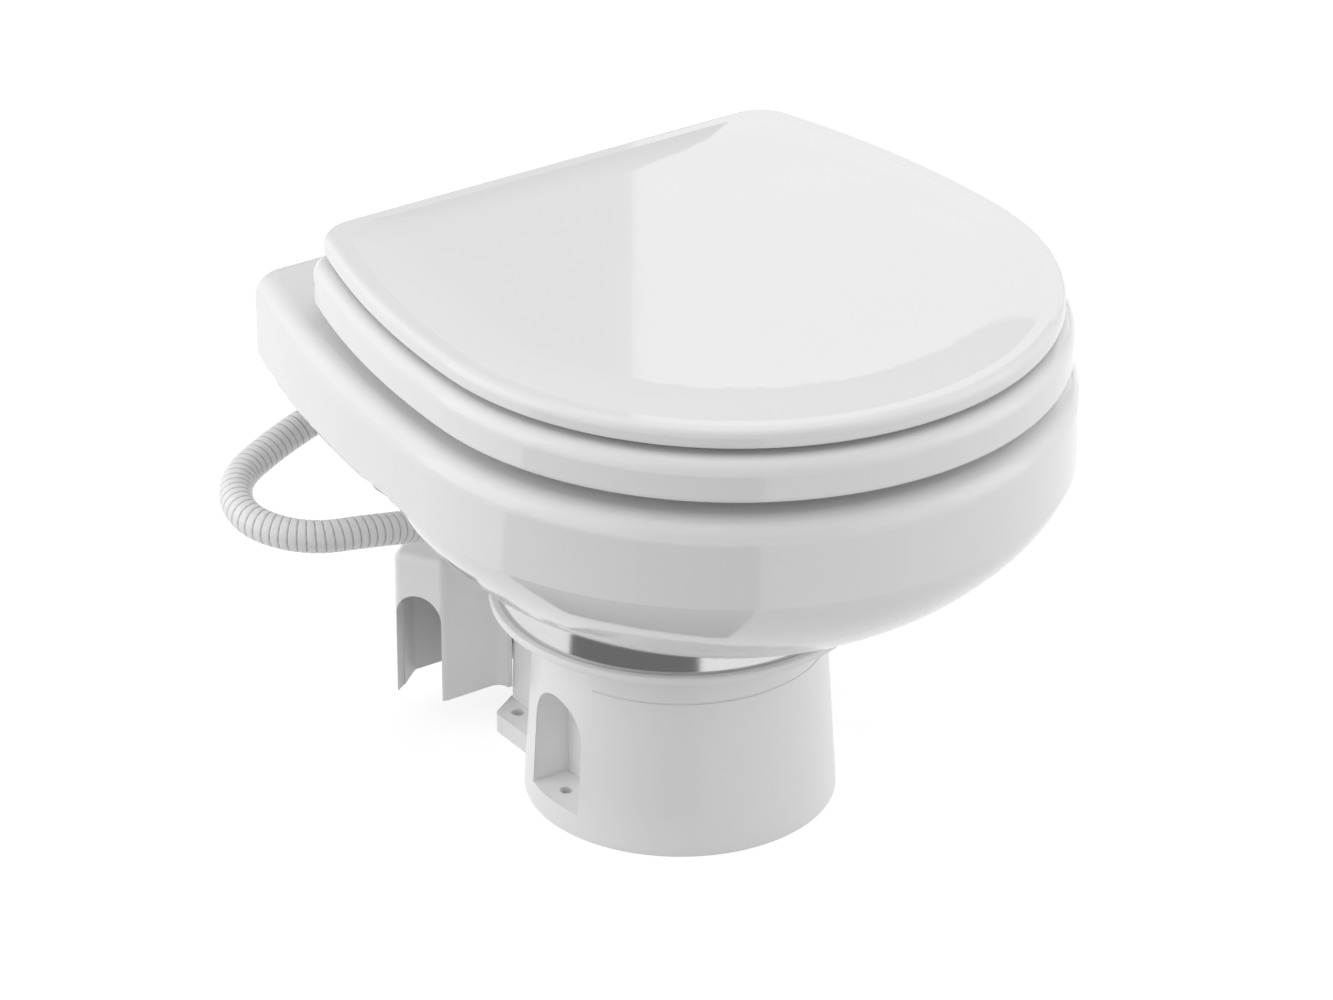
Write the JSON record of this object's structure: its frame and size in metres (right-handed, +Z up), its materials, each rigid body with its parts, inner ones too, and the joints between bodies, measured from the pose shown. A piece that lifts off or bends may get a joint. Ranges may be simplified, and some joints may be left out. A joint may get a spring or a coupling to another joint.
{
  "type": "electric macerating toilet",
  "caption": "Low electric macerating toilet for boats and vans: round bowl with a rear deck, hinged seat and lid, steel clamp band, round pedestal with pump, rear cover and rinse hose.",
  "frame": {"origin": "on the pedestal's axis, at the floor", "axes": "+X to the right as seen from the front, +Y to the rear, +Z up"},
  "size_m": [0.4068, 0.446, 0.341],
  "materials": {
    "glazed_ceramic": "glossy glaze",
    "seat_plastic": "gloss",
    "white_plastic": "satin gloss",
    "grey_plastic": "satin",
    "black_plastic": "satin",
    "polished_steel": "polished",
    "steel": "satin",
    "brass": "satin",
    "carbon": "matt",
    "ferrite": "matt",
    "rubber": "matt",
    "white_rubber": "matt",
    "hose_plastic": "clear, ribbed"
  },
  "bodies": {
    "toilet": {"bowl": "glazed_ceramic", "bowl_gasket": "rubber", "clamp_band": "polished_steel", "clamp_bolt": "steel", "clamp_nut": "steel", "pedestal_base": "white_plastic", "floor_plate": "white_plastic", "floor_screws": "steel", "sump_funnel": "white_plastic", "pump_volute": "grey_plastic", "pump_screws": "steel", "cutter_plate": "steel", "pump_back_plate": "grey_plastic", "shaft_seal": "rubber", "motor_can": "steel", "motor_screws": "steel", "upper_bearing": "steel", "lower_bearing": "steel", "motor_end_cap": "grey_plastic", "motor_magnets": "ferrite", "motor_brushes": "carbon", "brush_holder": "grey_plastic", "check_valve_housing": "grey_plastic", "discharge_elbow": "grey_plastic", "rear_cover": "white_plastic", "rear_cover_screws": "steel", "valve_bracket": "steel", "valve_bracket_screws": "steel", "valve_body": "grey_plastic", "valve_coil": "black_plastic", "coil_terminals": "brass", "valve_sleeve": "steel", "valve_spring": "steel", "rinse_hose": "hose_plastic", "hose_clips": "steel", "bowl_inlet_pipe": "grey_plastic", "inlet_gasket": "rubber", "inlet_nut": "grey_plastic", "hinge_posts": "white_plastic", "hinge_pins": "steel", "hinge_washers": "steel", "hinge_wing_nuts": "white_plastic"},
    "seat": {"seat_ring": "seat_plastic", "seat_bumpers": "white_rubber"},
    "lid": {"lid_panel": "seat_plastic", "lid_bumpers": "white_rubber"},
    "rotor": {"motor_shaft": "steel", "armature": "steel", "commutator": "brass", "impeller": "grey_plastic", "cutter_blade": "steel", "blade_nut": "steel"},
    "plunger": {"valve_plunger": "steel"},
    "flap": {"check_valve_flap": "rubber"}
  },
  "joints": [
    {"name": "seat_hinge", "type": "hinge", "parent": "toilet", "child": "seat", "pos_m": [0, 0.15, 0.3195], "axis": [-1, 0, 0], "range_deg": [0, 95]},
    {"name": "lid_hinge", "type": "hinge", "parent": "seat", "child": "lid", "pos_m": [0, 0.15, 0.3195], "axis": [-1, 0, 0], "range_deg": [0, 95]},
    {"name": "rotor_spin", "type": "hinge", "parent": "toilet", "child": "rotor", "pos_m": [0, 0, 0.05], "axis": [0, 0, 1], "continuous": true},
    {"name": "valve_plunger_slide", "type": "slide", "parent": "toilet", "child": "plunger", "axis": [0, 0, 1], "range_m": [0, 0.003], "stiffness_N_per_m": 200, "springref_m": -0.002, "deforming": ["valve_spring"]},
    {"name": "check_flap_swing", "type": "hinge", "parent": "toilet", "child": "flap", "pos_m": [0, 0.1025, 0.0824], "axis": [1, 0, 0], "range_deg": [0, 50]}
  ]
}
